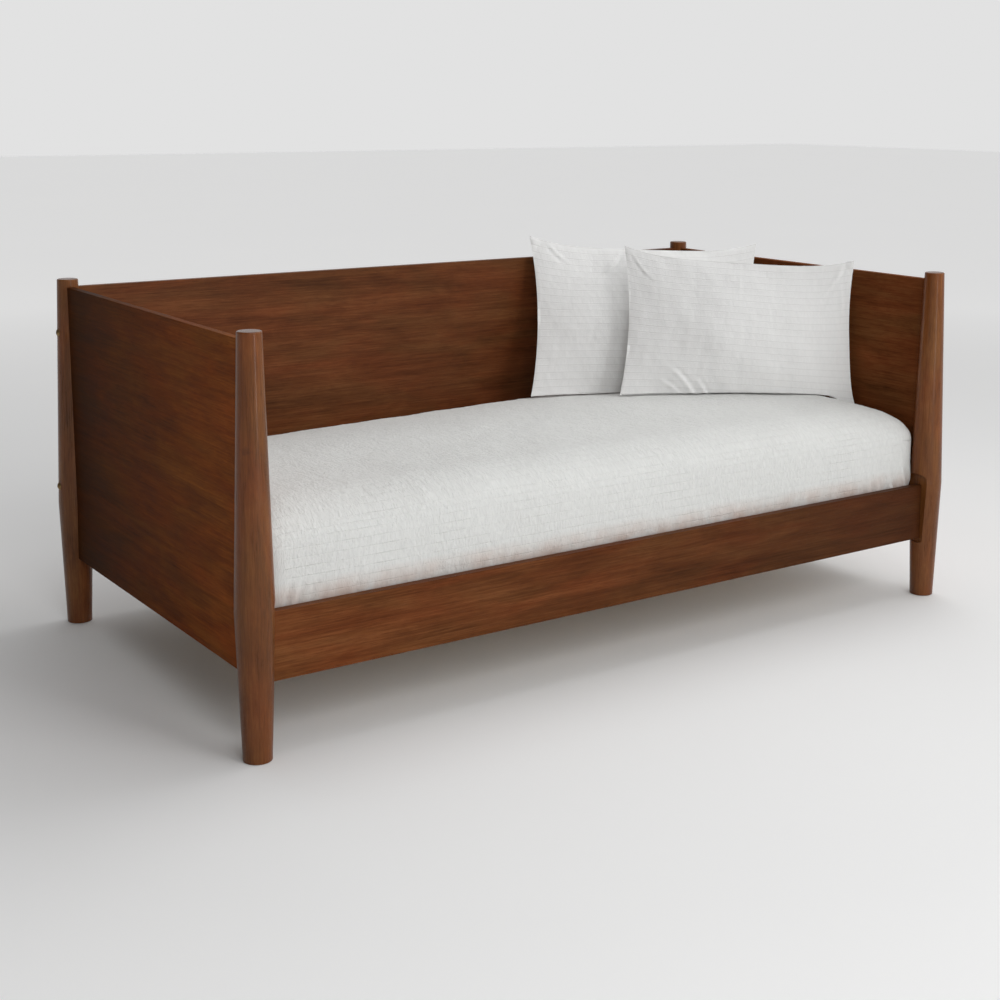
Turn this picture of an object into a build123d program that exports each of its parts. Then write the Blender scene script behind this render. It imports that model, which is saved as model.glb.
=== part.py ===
from build123d import *
import os
from math import cos, radians, sin, sqrt

# Daybed with turned corner legs, flat side and back panels, a front rail, a slatted deck,
# a twin mattress in a fitted coverlet and two bed pillows in shams.
# Frame: X along the length, -Y the open front, +Z up, origin on the floor at the centre.

os.makedirs("parts", exist_ok=True)

# ---------- driving dimensions, millimetres and degrees ----------
# legs
leg_x = 969.0
leg_y = 516.5
leg_height = 864.0
leg_top_radius = 25.1
leg_belly_radius = 40.9
leg_foot_radius = 29.7
belly_height = 307.0
leg_top_round = 3.0
leg_foot_round = 4.0
glide_proud = 1.0

# panels, and how near their ends come to the axes of the legs
panel_thickness = 19.0
panel_bottom = 168.0
panel_top = 845.0
panel_edge_round = 2.0
tongue_end = 20.0

# front rail and the routed pockets that its ends butt against
rail_thickness = 22.0
rail_bottom = 158.0
rail_top = 302.0
rail_edge_round = 2.0
pocket_floor = 29.0
pocket_half_width = 32.0
pocket_bottom = 146.0
pocket_top = 332.0
pocket_corner = 24.0

# deck: ledgers, slats and webbing
ledger_thickness = 22.0
ledger_bottom = 200.0
ledger_top = 238.0
ledger_length = 1850.0
ledger_edge_round = 2.0
slat_count = 14
slat_pitch = 135.0
slat_width = 68.0
slat_thickness = 18.0
slat_end_gap = 1.5
slat_round = 3.0
strap_width = 25.0
strap_thickness = 1.5
strap_y = 330.0

# wood screws
screw_radius = 2.0
screw_head_radius = 4.0
screw_tip = 4.0
screw_slot_width = 0.8
screw_slot_depth = 1.2
hole_play = 0.05
deck_screw_length = 35.0
deck_screw_y = 494.0
ledger_screw_count = 8
ledger_screw_pitch = 240.0
plate_screw_length = 25.0
plate_screw_sunk = 0.3

# dowels that join the side panels to the legs
dowel_radius = 4.0
dowel_length = 46.0
dowel_heights = (228.0, 418.0, 608.0, 798.0)
dowel_hole_gap = 1.0

# connector bolts and barrel nuts that join the back panel to the back legs
bolt_heights = (351.0, 733.0)
bolt_radius = 3.0
bolt_length = 95.0
bolt_head_radius = 10.0
bolt_head_height = 5.5
bolt_rim = 1.0
bolt_dome_point = (4.4, 5.5)
bolt_socket_width = 5.0
bolt_socket_depth = 3.0
bolt_hole_play = 0.4
bolt_hole_end = 74.0
seat_play = 0.4
nut_radius = 5.0
nut_length = 16.0
nut_distance = 45.0
nut_play = 0.1
nut_slot_width = 1.2
nut_slot_depth = 1.0

# hook plates in the rail ends and slotted plates in the front legs
plate_width = 16.0
plate_height = 130.0
plate_thickness = 3.0
plate_bottom = 165.0
plate_screw_heights = (8.0, 64.0, 122.0)
hook_heights = (20.0, 74.0)
hook_thickness = 3.0
hook_reach = 11.0
hook_drop = 10.0
hook_rise = 26.0
hook_root_rise = 27.0
hook_slope_start = 5.5
hook_notch = 3.4
slot_length = 29.0
slot_width = 4.0
cavity_depth = 12.5
cavity_width = 6.0

# foot glides
glide_radius = 11.0
glide_thickness = 4.0
glide_round = 1.0
glide_stem_radius = 2.0
glide_stem_length = 16.0
glide_play = 0.1

# mattress and coverlet
mattress_length = 1905.0
mattress_front = -500.0
mattress_back = 490.0
mattress_bottom = 256.3
mattress_top = 498.0
mattress_plan_corner = 45.0
mattress_top_round = 58.0
mattress_bottom_round = 15.0
coverlet_thickness = 2.5
coverlet_hem = 258.0
cloth_play = 0.3

# pillows
pillow_length = 620.0
pillow_height = 415.0
pillow_thickness = 116.0
pillow_corner = 60.0
pillow_round = 56.0
sham_thickness = 1.5
sham_slit_length = 240.0
sham_slit_width = 6.0
rear_pillow_xy = (595.5, 208.0)
rear_pillow_turn = -30.0
rear_pillow_lean = 19.5
front_pillow_xy = (684.0, -68.0)
front_pillow_turn = -40.3
front_pillow_lean = 12.4
pillow_clear = 0.6

# ---------- derived dimensions ----------
panel_height = panel_top - panel_bottom
rail_height = rail_top - rail_bottom
rail_end = leg_x - pocket_floor
rail_back = -leg_y + rail_thickness / 2
back_panel_front = leg_y - panel_thickness / 2
back_panel_back = leg_y + panel_thickness / 2
side_panel_length = 2 * (leg_y - tongue_end)
back_panel_length = 2 * (leg_x - tongue_end)
slat_top = ledger_top + slat_thickness
slat_front = rail_back + slat_end_gap
slat_back = back_panel_front - slat_end_gap
slat_xs = [(index - (slat_count - 1) / 2) * slat_pitch for index in range(slat_count)]
deck_length = slat_xs[-1] - slat_xs[0] + slat_width
ledger_middle = (ledger_bottom + ledger_top) / 2
plate_screw_zs = [plate_bottom + height for height in plate_screw_heights]
ledger_xs = [
    (index - (ledger_screw_count - 1) / 2) * ledger_screw_pitch
    for index in range(ledger_screw_count)
]
hole_radius = screw_radius + hole_play
sink_radius = screw_head_radius + hole_play
plate_sink_radius = sink_radius + plate_screw_sunk
plate_hole_depth = plate_screw_length - plate_thickness + plate_screw_sunk


def leg_radius(height):
    """Radius of the turned leg: two straight tapers that meet at the belly."""
    if height <= belly_height:
        share = height / belly_height
        return leg_foot_radius + (leg_belly_radius - leg_foot_radius) * share
    share = (height - belly_height) / (leg_height - belly_height)
    return leg_belly_radius + (leg_top_radius - leg_belly_radius) * share


def bolt_seat(height):
    """Distance from the leg axis to the flat seat that is milled for a bolt head."""
    seat_radius = bolt_head_radius + seat_play
    return sqrt(leg_radius(height) ** 2 - seat_radius**2)


def save(part, name):
    """Labels a finished piece and writes its STEP file."""
    part.label = name
    export_step(part, f"parts/{name}.step")


def facing_x(x, y, z, way):
    """Plane at a point whose normal is +X or -X, with its own X along Y and its Y up."""
    return Plane(origin=(x, y, z), x_dir=(0, way, 0), z_dir=(way, 0, 0))


def facing_y(x, y, z, way):
    """Plane at a point whose normal is +Y or -Y, with its Y up."""
    return Plane(origin=(x, y, z), x_dir=(-way, 0, 0), z_dir=(0, way, 0))


# ---------- turned legs ----------
def make_leg(side, end, name):
    """One leg. side is -1 left or 1 right, end is -1 front or 1 back."""
    x = side * leg_x
    y = end * leg_y
    profile_plane = Plane(origin=(x, y, 0), x_dir=(1, 0, 0), z_dir=(0, -1, 0))
    with BuildPart() as leg:
        with BuildSketch(profile_plane) as profile:
            with BuildLine():
                Polyline(
                    (0, glide_proud),
                    (leg_radius(glide_proud), glide_proud),
                    (leg_belly_radius, belly_height),
                    (leg_top_radius, leg_height),
                    (0, leg_height),
                    close=True,
                )
            make_face()
            top_corner = profile.vertices().group_by(Axis.Y)[-1].sort_by(Axis.X)[-1]
            foot_corner = profile.vertices().group_by(Axis.Y)[0].sort_by(Axis.X)[-1]
            fillet(top_corner, leg_top_round)
            fillet(foot_corner, leg_foot_round)
        revolve(axis=Axis((x, y, 0), (0, 0, 1)))

        # groove for the tongue of the side panel, stopped below and above
        groove_length = leg_belly_radius
        groove_y = y - end * (tongue_end + groove_length / 2)
        with BuildSketch(Plane.XY.offset(panel_bottom)):
            with Locations((x, groove_y)):
                Rectangle(panel_thickness, groove_length)
        extrude(amount=panel_height, mode=Mode.SUBTRACT)

        # dowel holes in the floor of that groove
        with Locations([facing_y(x, y - end * tongue_end, z, -end) for z in dowel_heights]):
            Hole(dowel_radius + hole_play, depth=dowel_length / 2 + dowel_hole_gap)

        # hole for the stem of the glide, and a shallow seat for its disc
        with Locations(Plane(origin=(x, y, glide_proud), z_dir=(0, 0, -1))):
            CounterBoreHole(
                glide_stem_radius + glide_play,
                glide_radius + glide_play,
                glide_thickness - glide_proud,
                depth=glide_thickness - glide_proud + glide_stem_length + glide_play,
            )

        if end < 0:
            # routed pocket that the end of the rail butts against
            floor_x = x - side * pocket_floor
            pocket_middle = (pocket_bottom + pocket_top) / 2
            with BuildSketch(facing_x(floor_x, y, pocket_middle, -side)):
                RectangleRounded(2 * pocket_half_width, pocket_top - pocket_bottom, pocket_corner)
            extrude(amount=leg_belly_radius - pocket_floor, mode=Mode.SUBTRACT)

            # recess of the slotted plate, room for the hooks behind it, and its screw holes
            with BuildSketch(facing_x(floor_x, y, plate_bottom + plate_height / 2, -side)):
                Rectangle(plate_width, plate_height)
            extrude(amount=-plate_thickness, mode=Mode.SUBTRACT)
            cavity_height = slot_length + hook_drop + slot_width
            with BuildSketch(facing_x(floor_x, y, 0, -side)):
                for height in hook_heights:
                    cavity_middle = plate_bottom + height - slot_width + cavity_height / 2
                    with Locations((0, cavity_middle)):
                        Rectangle(cavity_width, cavity_height)
            extrude(amount=-cavity_depth, mode=Mode.SUBTRACT)
            back_x = floor_x + side * plate_thickness
            with Locations([facing_x(back_x, y, z, -side) for z in plate_screw_zs]):
                Hole(hole_radius, depth=plate_hole_depth)
        else:
            # groove for the tongue of the back panel
            groove_x = x - side * (tongue_end + groove_length / 2)
            with BuildSketch(Plane.XY.offset(panel_bottom)):
                with Locations((groove_x, y)):
                    Rectangle(groove_length, panel_thickness)
            extrude(amount=panel_height, mode=Mode.SUBTRACT)

            # bolt holes, each with a flat seat milled for the bolt head
            for height in bolt_heights:
                seat = bolt_seat(height)
                with Locations(facing_x(x + side * seat, y, height, side)):
                    Hole(bolt_radius + bolt_hole_play, depth=seat + tongue_end)
                with BuildSketch(facing_x(x + side * seat, y, height, side)):
                    Circle(bolt_head_radius + seat_play)
                extrude(amount=leg_belly_radius - seat, mode=Mode.SUBTRACT)
    save(leg.part, name)


make_leg(-1, -1, "leg_front_left")
make_leg(1, -1, "leg_front_right")
make_leg(-1, 1, "leg_back_left")
make_leg(1, 1, "leg_back_right")


# ---------- side panels ----------
def make_side_panel(side, name):
    """Flat panel between two legs, with dowel holes in both ends."""
    x = side * leg_x
    panel_end = leg_y - tongue_end
    with BuildPart() as panel:
        with BuildSketch(Plane.XY.offset(panel_bottom)):
            with Locations((x, 0)):
                Rectangle(panel_thickness, side_panel_length)
        extrude(amount=panel_height)
        long_edges = panel.edges().filter_by(Axis.Y)
        fillet(long_edges, panel_edge_round)
        for end in (-1, 1):
            with Locations([facing_y(x, end * panel_end, z, end) for z in dowel_heights]):
                Hole(dowel_radius + hole_play, depth=dowel_length / 2 + dowel_hole_gap)
    save(panel.part, name)


make_side_panel(-1, "side_panel_left")
make_side_panel(1, "side_panel_right")

with BuildPart() as side_panel_dowels:
    for side in (-1, 1):
        for end in (-1, 1):
            joint_y = end * (leg_y - tongue_end - dowel_length / 2)
            starts = [facing_y(side * leg_x, joint_y, z, end) for z in dowel_heights]
            for start in starts:
                with BuildSketch(start):
                    Circle(dowel_radius)
                extrude(amount=dowel_length)
save(side_panel_dowels.part, "side_panel_dowels")

# ---------- back panel with its connector bolts and barrel nuts ----------
with BuildPart() as back_panel:
    with BuildSketch(Plane.XY.offset(panel_bottom)):
        with Locations((0, leg_y)):
            Rectangle(back_panel_length, panel_thickness)
    extrude(amount=panel_height)
    fillet(back_panel.edges().filter_by(Axis.X), panel_edge_round)
    for side in (-1, 1):
        end_x = side * back_panel_length / 2
        with Locations([facing_x(end_x, leg_y, z, side) for z in bolt_heights]):
            Hole(bolt_radius + bolt_hole_play, depth=bolt_hole_end - tongue_end)
        nut_x = side * (leg_x - nut_distance)
        with Locations([facing_y(nut_x, back_panel_back, z, 1) for z in bolt_heights]):
            Hole(nut_radius + nut_play, depth=nut_length + nut_play)
    with Locations([facing_y(x, back_panel_front, ledger_middle, -1) for x in ledger_xs]):
        Hole(hole_radius, depth=deck_screw_length - ledger_thickness)
save(back_panel.part, "back_panel")

with BuildPart() as panel_bolts:
    for side in (-1, 1):
        for height in bolt_heights:
            seat = side * (leg_x + bolt_seat(height))
            section = Plane(origin=(seat, leg_y, height), x_dir=(side, 0, 0), z_dir=(0, -side, 0))
            with BuildSketch(section):
                with BuildLine():
                    Polyline(
                        (bolt_head_height, 0),
                        (-bolt_length, 0),
                        (-bolt_length, bolt_radius),
                        (0, bolt_radius),
                        (0, bolt_head_radius),
                        (bolt_rim, bolt_head_radius),
                    )
                    ThreePointArc(
                        (bolt_rim, bolt_head_radius),
                        bolt_dome_point,
                        (bolt_head_height, 0),
                    )
                make_face()
            revolve(axis=Axis((seat, leg_y, height), (1, 0, 0)))
            socket_floor = seat + side * (bolt_head_height - bolt_socket_depth)
            with BuildSketch(facing_x(socket_floor, leg_y, height, side)):
                RegularPolygon(bolt_socket_width / 2, 6, major_radius=False)
            extrude(amount=bolt_head_height, mode=Mode.SUBTRACT)
save(panel_bolts.part, "panel_bolts")

with BuildPart() as barrel_nuts:
    for side in (-1, 1):
        for height in bolt_heights:
            nut_x = side * (leg_x - nut_distance)
            with BuildSketch(facing_y(nut_x, back_panel_back, height, 1)):
                Circle(nut_radius)
            extrude(amount=-nut_length)
            with Locations(facing_x(nut_x + side * nut_radius, leg_y, height, side)):
                Hole(bolt_radius + hole_play, depth=2 * nut_radius)
            with BuildSketch(facing_y(nut_x, back_panel_back, height, 1)):
                Rectangle(2 * nut_radius, nut_slot_width)
            extrude(amount=-nut_slot_depth, mode=Mode.SUBTRACT)
save(barrel_nuts.part, "barrel_nuts")


# ---------- front rail and its hook fasteners ----------
with BuildPart() as front_rail:
    with BuildSketch(Plane.XY.offset(rail_bottom)):
        with Locations((0, -leg_y)):
            Rectangle(2 * rail_end, rail_thickness)
    extrude(amount=rail_height)
    fillet(front_rail.edges().filter_by(Axis.X), rail_edge_round)
    for side in (-1, 1):
        end_x = side * rail_end
        with BuildSketch(facing_x(end_x, -leg_y, plate_bottom + plate_height / 2, side)):
            Rectangle(plate_width, plate_height)
        extrude(amount=-plate_thickness, mode=Mode.SUBTRACT)
        recess_x = end_x - side * plate_thickness
        with Locations([facing_x(recess_x, -leg_y, z, side) for z in plate_screw_zs]):
            Hole(hole_radius, depth=plate_hole_depth)
    with Locations([facing_y(x, rail_back, ledger_middle, 1) for x in ledger_xs]):
        Hole(hole_radius, depth=deck_screw_length - ledger_thickness)
save(front_rail.part, "front_rail")


def make_plates(side, hand):
    """Hook plate of one rail end and the slotted plate of the leg beside it."""
    end_x = side * rail_end
    middle = plate_bottom + plate_height / 2
    with BuildPart() as hook_plate:
        with BuildSketch(facing_x(end_x, -leg_y, middle, side)):
            Rectangle(plate_width, plate_height)
        extrude(amount=-plate_thickness)
        with Locations([facing_x(end_x, -leg_y, z, side) for z in plate_screw_zs]):
            CounterSinkHole(hole_radius, plate_sink_radius, depth=plate_thickness)
        for height in hook_heights:
            hook_plane = Plane(
                origin=(end_x, -leg_y, plate_bottom + height), x_dir=(side, 0, 0), z_dir=(0, -side, 0)
            )
            with BuildSketch(hook_plane):
                with BuildLine():
                    Polyline(
                        (-plate_thickness, hook_drop),
                        (hook_notch, hook_drop),
                        (hook_notch, 0),
                        (hook_reach, 0),
                        (hook_reach, hook_rise),
                        (hook_slope_start, hook_root_rise),
                        (-plate_thickness, hook_root_rise),
                        close=True,
                    )
                make_face()
            extrude(amount=hook_thickness / 2, both=True)
    save(hook_plate.part, f"hook_plate_{hand}")

    with BuildPart() as slot_plate:
        with BuildSketch(facing_x(end_x, -leg_y, middle, side)):
            Rectangle(plate_width, plate_height)
        extrude(amount=plate_thickness)
        with Locations([facing_x(end_x, -leg_y, z, -side) for z in plate_screw_zs]):
            CounterSinkHole(hole_radius, plate_sink_radius, depth=plate_thickness)
        with BuildSketch(facing_x(end_x, -leg_y, 0, side)):
            for height in hook_heights:
                slot_middle = plate_bottom + height + hook_drop + slot_length / 2
                with Locations((0, slot_middle)):
                    Rectangle(slot_width, slot_length)
        extrude(amount=plate_thickness, mode=Mode.SUBTRACT)
    save(slot_plate.part, f"slot_plate_{hand}")


make_plates(-1, "left")
make_plates(1, "right")


def make_screw(length):
    """Countersunk cross-recess wood screw, head face at the origin, tip along -Z."""
    with BuildPart() as screw:
        with BuildSketch(Plane.XZ):
            with BuildLine():
                Polyline(
                    (0, 0),
                    (screw_head_radius, 0),
                    (screw_radius, screw_radius - screw_head_radius),
                    (screw_radius, screw_tip - length),
                    (0, -length),
                    close=True,
                )
            make_face()
        revolve(axis=Axis.Z)
        with BuildSketch(Plane.XY):
            Rectangle(screw_head_radius, screw_slot_width)
            Rectangle(screw_slot_width, screw_head_radius)
        extrude(amount=-screw_slot_depth, mode=Mode.SUBTRACT)
    return screw.part


plate_screw = make_screw(plate_screw_length)
deck_screw = make_screw(deck_screw_length)

with BuildPart() as plate_screws:
    for side in (-1, 1):
        for z in plate_screw_zs:
            for way in (-side, side):
                head_x = side * rail_end - way * plate_screw_sunk
                with Locations(facing_x(head_x, -leg_y, z, way)):
                    add(plate_screw)
save(plate_screws.part, "plate_screws")


# ---------- ledgers ----------
def make_ledger(y, way, name):
    """Strip that carries the slat ends. way is +1 if its screws enter along -Y."""
    inner_y = y + way * ledger_thickness / 2
    with BuildPart() as ledger:
        with BuildSketch(Plane.XY.offset(ledger_bottom)):
            with Locations((0, y)):
                Rectangle(ledger_length, ledger_thickness)
        extrude(amount=ledger_top - ledger_bottom)
        outer_to_inner = ledger.faces().sort_by(lambda face: face.center().Y * way)
        fillet(outer_to_inner[-1].edges().filter_by(Axis.X), ledger_edge_round)
        with Locations([facing_y(x, inner_y, ledger_middle, way) for x in ledger_xs]):
            CounterSinkHole(hole_radius, sink_radius, depth=ledger_thickness)
        with Locations([(x, way * -deck_screw_y, ledger_top) for x in slat_xs]):
            Hole(hole_radius, depth=deck_screw_length - slat_thickness)
    save(ledger.part, name)


front_ledger_y = rail_back + ledger_thickness / 2
back_ledger_y = back_panel_front - ledger_thickness / 2
make_ledger(front_ledger_y, 1, "ledger_front")
make_ledger(back_ledger_y, -1, "ledger_back")

with BuildPart() as ledger_screws:
    for x in ledger_xs:
        with Locations(facing_y(x, rail_back + ledger_thickness, ledger_middle, 1)):
            add(deck_screw)
        with Locations(facing_y(x, back_panel_front - ledger_thickness, ledger_middle, -1)):
            add(deck_screw)
save(ledger_screws.part, "ledger_screws")

# ---------- slats, their screws and the webbing that spaces them ----------
for index, slat_x in enumerate(slat_xs):
    with BuildPart() as slat:
        with BuildSketch(Plane.XY.offset(ledger_top)):
            with Locations((slat_x, (slat_front + slat_back) / 2)):
                Rectangle(slat_width, slat_back - slat_front)
        extrude(amount=slat_thickness)
        fillet(slat.edges().filter_by(Axis.Y), slat_round)
        with Locations([(slat_x, y, slat_top) for y in (-deck_screw_y, deck_screw_y)]):
            CounterSinkHole(hole_radius, sink_radius, depth=slat_thickness)
    save(slat.part, f"slat_{index + 1:02d}")

with BuildPart() as slat_screws:
    for slat_x in slat_xs:
        with Locations([(slat_x, y, slat_top) for y in (-deck_screw_y, deck_screw_y)]):
            add(deck_screw)
save(slat_screws.part, "slat_screws")

for y, name in ((-strap_y, "slat_strap_front"), (strap_y, "slat_strap_back")):
    with BuildPart() as strap:
        with BuildSketch(Plane.XY.offset(ledger_top)):
            with Locations((0, y)):
                Rectangle(deck_length, strap_width)
        extrude(amount=-strap_thickness)
    save(strap.part, name)


# ---------- foot glides ----------
def make_glide(side, end, name):
    """Nylon glide: a disc with a rounded rim and a stem that is driven into the foot."""
    x = side * leg_x
    y = end * leg_y
    with BuildPart() as glide:
        with BuildSketch(Plane.XY):
            with Locations((x, y)):
                Circle(glide_radius)
        extrude(amount=glide_thickness)
        fillet(glide.edges().group_by(Axis.Z)[0], glide_round)
        with BuildSketch(Plane.XY.offset(glide_thickness)):
            with Locations((x, y)):
                Circle(glide_stem_radius)
        extrude(amount=glide_stem_length)
    save(glide.part, name)


make_glide(-1, -1, "foot_glide_front_left")
make_glide(1, -1, "foot_glide_front_right")
make_glide(-1, 1, "foot_glide_back_left")
make_glide(1, 1, "foot_glide_back_right")

# ---------- mattress and fitted coverlet ----------
mattress_y = (mattress_front + mattress_back) / 2
mattress_depth = mattress_back - mattress_front
cover_gap = coverlet_thickness + cloth_play


def rounded_slab(low, high, inset, top_round):
    """Slab with rounded plan corners and rounded top edges, inset from the coverlet's outside."""
    with BuildPart() as slab:
        with BuildSketch(Plane.XY.offset(low)):
            with Locations((0, mattress_y)):
                RectangleRounded(
                    mattress_length - 2 * inset,
                    mattress_depth - 2 * inset,
                    mattress_plan_corner - inset,
                )
        extrude(amount=high - low)
        fillet(slab.faces().sort_by(Axis.Z)[-1].edges(), top_round)
    return slab.part


core_slab = rounded_slab(
    mattress_bottom, mattress_top - cover_gap, cover_gap, mattress_top_round - cover_gap
)
with BuildPart() as mattress:
    add(core_slab)
    fillet(mattress.faces().sort_by(Axis.Z)[0].edges(), mattress_bottom_round)
save(mattress.part, "mattress")

cover_outside = rounded_slab(coverlet_hem, mattress_top, 0, mattress_top_round)
cover_inside = rounded_slab(
    coverlet_hem,
    mattress_top - coverlet_thickness,
    coverlet_thickness,
    mattress_top_round - coverlet_thickness,
)
with BuildPart() as coverlet:
    add(cover_outside)
    add(cover_inside, mode=Mode.SUBTRACT)
save(coverlet.part, "coverlet")


# ---------- pillows: a filled insert inside a sham with an envelope slit at the back ----------
def pillow_plane(centre_xy, turn, lean):
    """Middle plane of a leaning pillow: X along its length, Y up its face, Z out of its front."""
    turn_angle = radians(turn)
    lean_angle = radians(lean)
    half_core = pillow_thickness / 2 - pillow_round
    half_rise = (pillow_height / 2 - pillow_round) * cos(lean_angle)
    half_rise += pillow_round + half_core * sin(lean_angle)
    centre_z = mattress_top + pillow_clear + half_rise
    front_x = sin(turn_angle) * cos(lean_angle)
    front_y = -cos(turn_angle) * cos(lean_angle)
    return Plane(
        origin=(*centre_xy, centre_z),
        x_dir=(cos(turn_angle), sin(turn_angle), 0),
        z_dir=(front_x, front_y, sin(lean_angle)),
    )


def pillow_solid(plane, inset):
    """Cushion with rounded corners and full round edges."""
    with BuildPart() as cushion:
        with BuildSketch(plane):
            RectangleRounded(
                pillow_length - 2 * inset, pillow_height - 2 * inset, pillow_corner - inset
            )
        extrude(amount=pillow_thickness / 2 - inset, both=True)
        rims = cushion.faces().filter_by(GeomType.PLANE).edges()
        fillet(rims, pillow_round - inset)
    return cushion.part


def make_pillow(centre_xy, turn, lean, hand):
    """The insert and the sham of one pillow."""
    plane = pillow_plane(centre_xy, turn, lean)
    insert = pillow_solid(plane, sham_thickness + cloth_play)
    save(insert, f"pillow_insert_{hand}")
    outside = pillow_solid(plane, 0)
    inside = pillow_solid(plane, sham_thickness)
    with BuildPart() as sham:
        add(outside)
        add(inside, mode=Mode.SUBTRACT)
        with BuildSketch(plane):
            Rectangle(sham_slit_width, sham_slit_length)
        extrude(amount=-pillow_thickness, mode=Mode.SUBTRACT)
    save(sham.part, f"pillow_sham_{hand}")


make_pillow(rear_pillow_xy, rear_pillow_turn, rear_pillow_lean, "rear")
make_pillow(front_pillow_xy, front_pillow_turn, front_pillow_lean, "front")
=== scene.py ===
"""Looks of the daybed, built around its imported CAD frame.

Units are metres, in the frame's own axes: X along the length, -Y the open front, +Z up.
"""

from math import cos, pi, radians, sin

import bpy
import numpy as np
from mathutils import Matrix, Vector
from mathutils.bvhtree import BVHTree


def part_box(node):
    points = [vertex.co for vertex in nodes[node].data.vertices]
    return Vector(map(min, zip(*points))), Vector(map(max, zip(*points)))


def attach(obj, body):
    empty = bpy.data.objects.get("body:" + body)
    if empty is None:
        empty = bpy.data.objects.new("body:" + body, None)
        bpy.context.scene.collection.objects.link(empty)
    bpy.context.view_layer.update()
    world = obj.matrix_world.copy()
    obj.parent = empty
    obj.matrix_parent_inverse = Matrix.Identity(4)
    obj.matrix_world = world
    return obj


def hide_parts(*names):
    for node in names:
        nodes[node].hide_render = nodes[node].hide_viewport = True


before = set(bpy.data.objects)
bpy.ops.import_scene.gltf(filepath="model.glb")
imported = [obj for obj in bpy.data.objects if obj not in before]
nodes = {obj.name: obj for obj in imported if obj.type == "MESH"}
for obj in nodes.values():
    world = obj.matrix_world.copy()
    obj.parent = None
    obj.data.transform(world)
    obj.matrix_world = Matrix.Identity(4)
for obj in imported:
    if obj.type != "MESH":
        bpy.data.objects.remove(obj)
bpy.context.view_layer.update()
cover_low, cover_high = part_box("coverlet")
rail_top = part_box("front_rail")[1].z

# ---------- driving values ----------
# how far the wood's tones spread about their middle
TONE_SPREAD = 0.11

# mattress and coverlet
COVER_STEP = 0.0066
COVER_ROW_STEP = 0.005
COVER_CORNER = 0.045
COVER_CORNER_STEPS = 12
COVER_CROWN = 0.006
CORE_GAP = 0.004
ROLL_HEIGHT = 0.078
ROLL_WIDTH_ENDS = 0.100
ROLL_WIDTH_FRONT = 0.135
ROLL_WIDTH_BACK = 0.170
BACK_SAG_LEFT = 0.064
BACK_SAG_RIGHT = 0.040
ROW_PITCH = 0.020
# painted shade and warm light reflected from the rail on the coverlet near the rail's top edge: how
# far it reaches and its strongest share
HEM_SHADE_BAND = 0.046
HEM_SHADE_SHARE = 0.72
CORE_STEP = 0.016
CORE_ROW_STEP = 0.014
CORE_RINGS = 24

# the studio's brightness to the left and to the right
STUDIO_LEFT = 0.12
STUDIO_RIGHT = 0.76

# the floor far from the daybed is lit as brightly as the surroundings, so it has no horizon
FLOOR_GLOW = 0.25
FLOOR_GLOW_START = 1.6
FLOOR_GLOW_END = 6.5

# pillows: a case sewn flat, then filled
CASE_LENGTH = 0.660
CASE_HEIGHT = 0.457
CASE_COLUMNS = 66
CASE_ROWS = 46
CASE_FRAMES = 30
CASE_CLOTH = {
    "pin_stiffness": 1.0,
    "quality": 6,
    "mass": 0.25,
    "air_damping": 8.0,
    "tension_stiffness": 40.0,
    "compression_stiffness": 40.0,
    "shear_stiffness": 18.0,
    "bending_stiffness": 3.0,
    "use_pressure": True,
    "uniform_pressure_force": 0.0,
    "pressure_factor": 6.0,
    "use_pressure_volume": True,
    "target_volume": 0.0262,
}
SHAM_COLUMNS = 121
SHAM_THICKNESS = 0.0012
INSERT_GAP = 0.0030
INSERT_MARGIN = 0.012
TUCK_PITCH = 0.0205
CREASE_HALF_GAP = 0.006
LONG_SEAM_POWER = 4.0
SHORT_SEAM_POWER = 2.0
RIGHT_SEAM_LOWER_POWER = 4.5
SOFTENING = 4
SEAM_CALMING = 14
SLUMP = 0.10

# how far pillows keep from the bed, the panels and each other
BED_CLEARANCE = 0.0030
PANEL_CLEARANCE = 0.0015
PILLOW_CLEARANCE = 0.0030
INSERT_CLEARANCE = 0.0050
NEAR_REACH = 0.09
UNDER_REACH = 0.035
UNDER_PROBE = 0.008
FRONT_REACH = 0.3

# camera: its place, its turn in degrees, its lens in millimetres and its shift
CAMERA_PLACE = (-2.2571, -3.3047, 1.3125)
CAMERA_TURN = (35.04, 8.52, 0.354)
CAMERA_LENS = 57.49
CAMERA_SHIFT = (-0.0345, -0.1653)


# ---------- node materials ----------
def rgba(colour):
    """A colour with its alpha added, or a node's output as it is."""
    return colour if isinstance(colour, bpy.types.NodeSocket) else (*colour, 1.0)


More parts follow.
